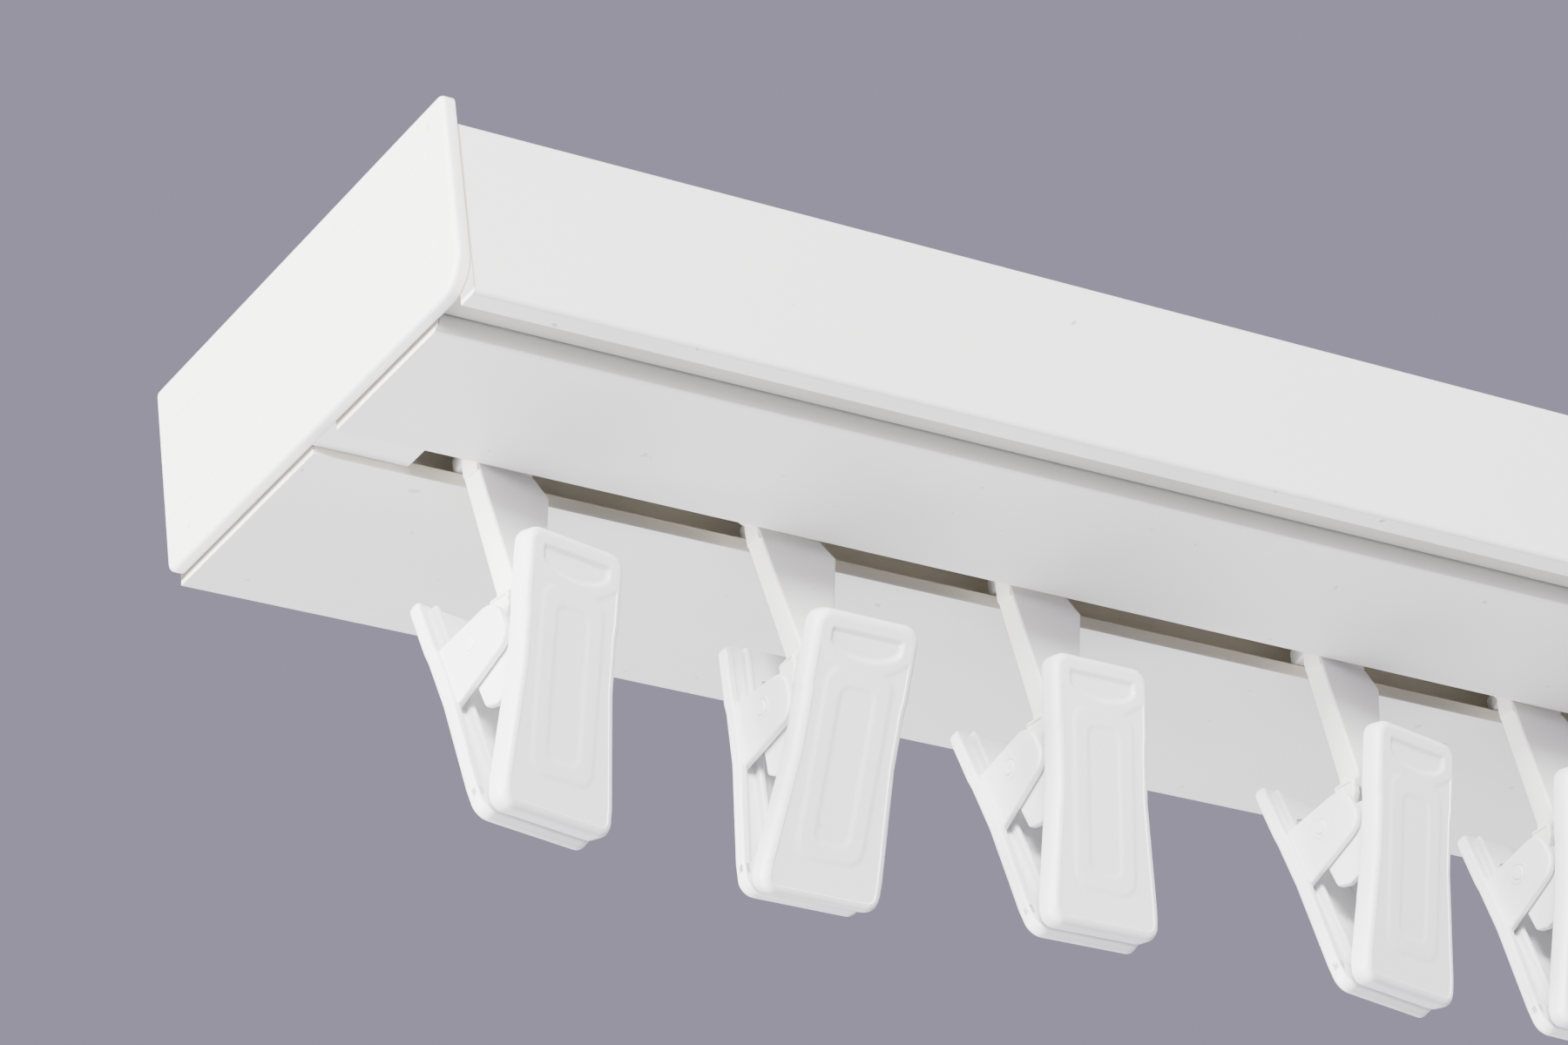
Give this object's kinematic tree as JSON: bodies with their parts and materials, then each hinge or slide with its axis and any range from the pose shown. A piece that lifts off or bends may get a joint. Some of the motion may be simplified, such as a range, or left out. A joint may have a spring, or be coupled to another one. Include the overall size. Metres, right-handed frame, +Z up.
{
  "type": "curtain track",
  "caption": "White ceiling curtain track with a slot, a clip-on fascia, end caps and gliders with sprung clips.",
  "frame": {"origin": "on the ceiling face of the track, over the middle of the slot and half way along", "axes": "+X along the track to the right as seen from the room, +Y from the fascia towards the window, +Z up"},
  "size_m": [0.6042, 0.0775, 0.0812],
  "materials": {
    "track": "satin white PVC extrusion",
    "fascia": "satin white PVC extrusion",
    "end_cap": "moulded white plastic",
    "end_stop": "moulded white plastic",
    "glider": "moulded white plastic",
    "clip_front": "moulded white plastic",
    "clip_pin": "moulded white plastic",
    "clip_spring": "drawn spring wire",
    "clip_back": "moulded white plastic"
  },
  "bodies": {
    "track": {"track": "track", "fascia": "fascia", "end_cap_left": "end_cap", "end_cap_right": "end_cap", "end_stop_left": "end_stop", "end_stop_right": "end_stop"},
    "glider_1": {"glider_1": "glider"},
    "clip_front_1": {"clip_front_1": "clip_front", "clip_pin_1": "clip_pin", "clip_spring_1": "clip_spring"},
    "clip_back_1": {"clip_back_1": "clip_back"},
    "glider_2": {"glider_2": "glider"},
    "clip_front_2": {"clip_front_2": "clip_front", "clip_pin_2": "clip_pin", "clip_spring_2": "clip_spring"},
    "clip_back_2": {"clip_back_2": "clip_back"},
    "glider_3": {"glider_3": "glider"},
    "clip_front_3": {"clip_front_3": "clip_front", "clip_pin_3": "clip_pin", "clip_spring_3": "clip_spring"},
    "clip_back_3": {"clip_back_3": "clip_back"},
    "glider_4": {"glider_4": "glider"},
    "clip_front_4": {"clip_front_4": "clip_front", "clip_pin_4": "clip_pin", "clip_spring_4": "clip_spring"},
    "clip_back_4": {"clip_back_4": "clip_back"},
    "glider_5": {"glider_5": "glider"},
    "clip_front_5": {"clip_front_5": "clip_front", "clip_pin_5": "clip_pin", "clip_spring_5": "clip_spring"},
    "clip_back_5": {"clip_back_5": "clip_back"},
    "glider_6": {"glider_6": "glider"},
    "clip_front_6": {"clip_front_6": "clip_front", "clip_pin_6": "clip_pin", "clip_spring_6": "clip_spring"},
    "clip_back_6": {"clip_back_6": "clip_back"},
    "glider_7": {"glider_7": "glider"},
    "clip_front_7": {"clip_front_7": "clip_front", "clip_pin_7": "clip_pin", "clip_spring_7": "clip_spring"},
    "clip_back_7": {"clip_back_7": "clip_back"}
  },
  "joints": [
    {"name": "glider_1_slide", "type": "slide", "parent": "track", "child": "glider_1", "axis": [1, 0, 0], "range_m": [-0.0042, 0.0117]},
    {"name": "clip_1_swing", "type": "hinge", "parent": "glider_1", "child": "clip_front_1", "pos_m": [-0.27311, 0.00211, -0.05521], "axis": [0.9816, 0.1908, 0], "range_deg": [-11.4, 17.6]},
    {"name": "clip_1_open", "type": "hinge", "parent": "clip_front_1", "child": "clip_back_1", "pos_m": [-0.27311, 0.00211, -0.05521], "axis": [0.9816, 0.1908, 0], "range_deg": [0, 20], "stiffness_Nm_per_rad": 0.03, "springref_deg": -14.32, "deforming": ["clip_spring_1"]},
    {"name": "glider_2_slide", "type": "slide", "parent": "track", "child": "glider_2", "axis": [1, 0, 0], "range_m": [-0.0117, 0.0091]},
    {"name": "clip_2_swing", "type": "hinge", "parent": "glider_2", "child": "clip_front_2", "pos_m": [-0.22823, 0.00162, -0.05514], "axis": [0.9999, 0.0157, 0], "range_deg": [-28.6, 0.4]},
    {"name": "clip_2_open", "type": "hinge", "parent": "clip_front_2", "child": "clip_back_2", "pos_m": [-0.22823, 0.00162, -0.05514], "axis": [0.9999, 0.0157, 0], "range_deg": [0, 20], "stiffness_Nm_per_rad": 0.03, "springref_deg": -14.32, "deforming": ["clip_spring_2"]},
    {"name": "glider_3_slide", "type": "slide", "parent": "track", "child": "glider_3", "axis": [1, 0, 0], "range_m": [-0.0091, 0.0136]},
    {"name": "clip_3_swing", "type": "hinge", "parent": "glider_3", "child": "clip_front_3", "pos_m": [-0.18683, 0.00409, -0.05458], "axis": [0.9975, 0.0611, 0.0366], "range_deg": [-6.4, 22.6]},
    {"name": "clip_3_open", "type": "hinge", "parent": "clip_front_3", "child": "clip_back_3", "pos_m": [-0.18683, 0.00409, -0.05458], "axis": [0.9975, 0.0611, 0.0366], "range_deg": [0, 20], "stiffness_Nm_per_rad": 0.03, "springref_deg": -14.32, "deforming": ["clip_spring_3"]},
    {"name": "glider_4_slide", "type": "slide", "parent": "track", "child": "glider_4", "axis": [1, 0, 0], "range_m": [-0.0136, 0.0069]},
    {"name": "clip_4_swing", "type": "hinge", "parent": "glider_4", "child": "clip_front_4", "pos_m": [-0.13555, 0.00285, -0.0553], "axis": [0.982, 0.1891, 0], "range_deg": [-10, 19]},
    {"name": "clip_4_open", "type": "hinge", "parent": "clip_front_4", "child": "clip_back_4", "pos_m": [-0.13555, 0.00285, -0.0553], "axis": [0.982, 0.1891, 0], "range_deg": [0, 20], "stiffness_Nm_per_rad": 0.03, "springref_deg": -14.32, "deforming": ["clip_spring_4"]},
    {"name": "glider_5_slide", "type": "slide", "parent": "track", "child": "glider_5", "axis": [1, 0, 0], "range_m": [-0.0069, 0.0194]},
    {"name": "clip_5_swing", "type": "hinge", "parent": "glider_5", "child": "clip_front_5", "pos_m": [-0.0992, 0.00289, -0.0553], "axis": [0.9976, 0.0698, 0], "range_deg": [-10, 19]},
    {"name": "clip_5_open", "type": "hinge", "parent": "clip_front_5", "child": "clip_back_5", "pos_m": [-0.0992, 0.00289, -0.0553], "axis": [0.9976, 0.0698, 0], "range_deg": [0, 20], "stiffness_Nm_per_rad": 0.03, "springref_deg": -14.32, "deforming": ["clip_spring_5"]},
    {"name": "glider_6_slide", "type": "slide", "parent": "track", "child": "glider_6", "axis": [1, 0, 0], "range_m": [-0.0194, 0.031]},
    {"name": "clip_6_swing", "type": "hinge", "parent": "glider_6", "child": "clip_front_6", "pos_m": [-0.03835, 0.00288, -0.0553], "axis": [0.9925, 0.1219, 0], "range_deg": [-10, 19]},
    {"name": "clip_6_open", "type": "hinge", "parent": "clip_front_6", "child": "clip_back_6", "pos_m": [-0.03835, 0.00288, -0.0553], "axis": [0.9925, 0.1219, 0], "range_deg": [0, 20], "stiffness_Nm_per_rad": 0.03, "springref_deg": -14.32, "deforming": ["clip_spring_6"]},
    {"name": "glider_7_slide", "type": "slide", "parent": "track", "child": "glider_7", "axis": [1, 0, 0], "range_m": [-0.031, 0.2295]},
    {"name": "clip_7_swing", "type": "hinge", "parent": "glider_7", "child": "clip_front_7", "pos_m": [0.0449, 0.0029, -0.0553], "axis": [0.9994, 0.0349, 0], "range_deg": [-10, 19]},
    {"name": "clip_7_open", "type": "hinge", "parent": "clip_front_7", "child": "clip_back_7", "pos_m": [0.0449, 0.0029, -0.0553], "axis": [0.9994, 0.0349, 0], "range_deg": [0, 20], "stiffness_Nm_per_rad": 0.03, "springref_deg": -14.32, "deforming": ["clip_spring_7"]}
  ]
}
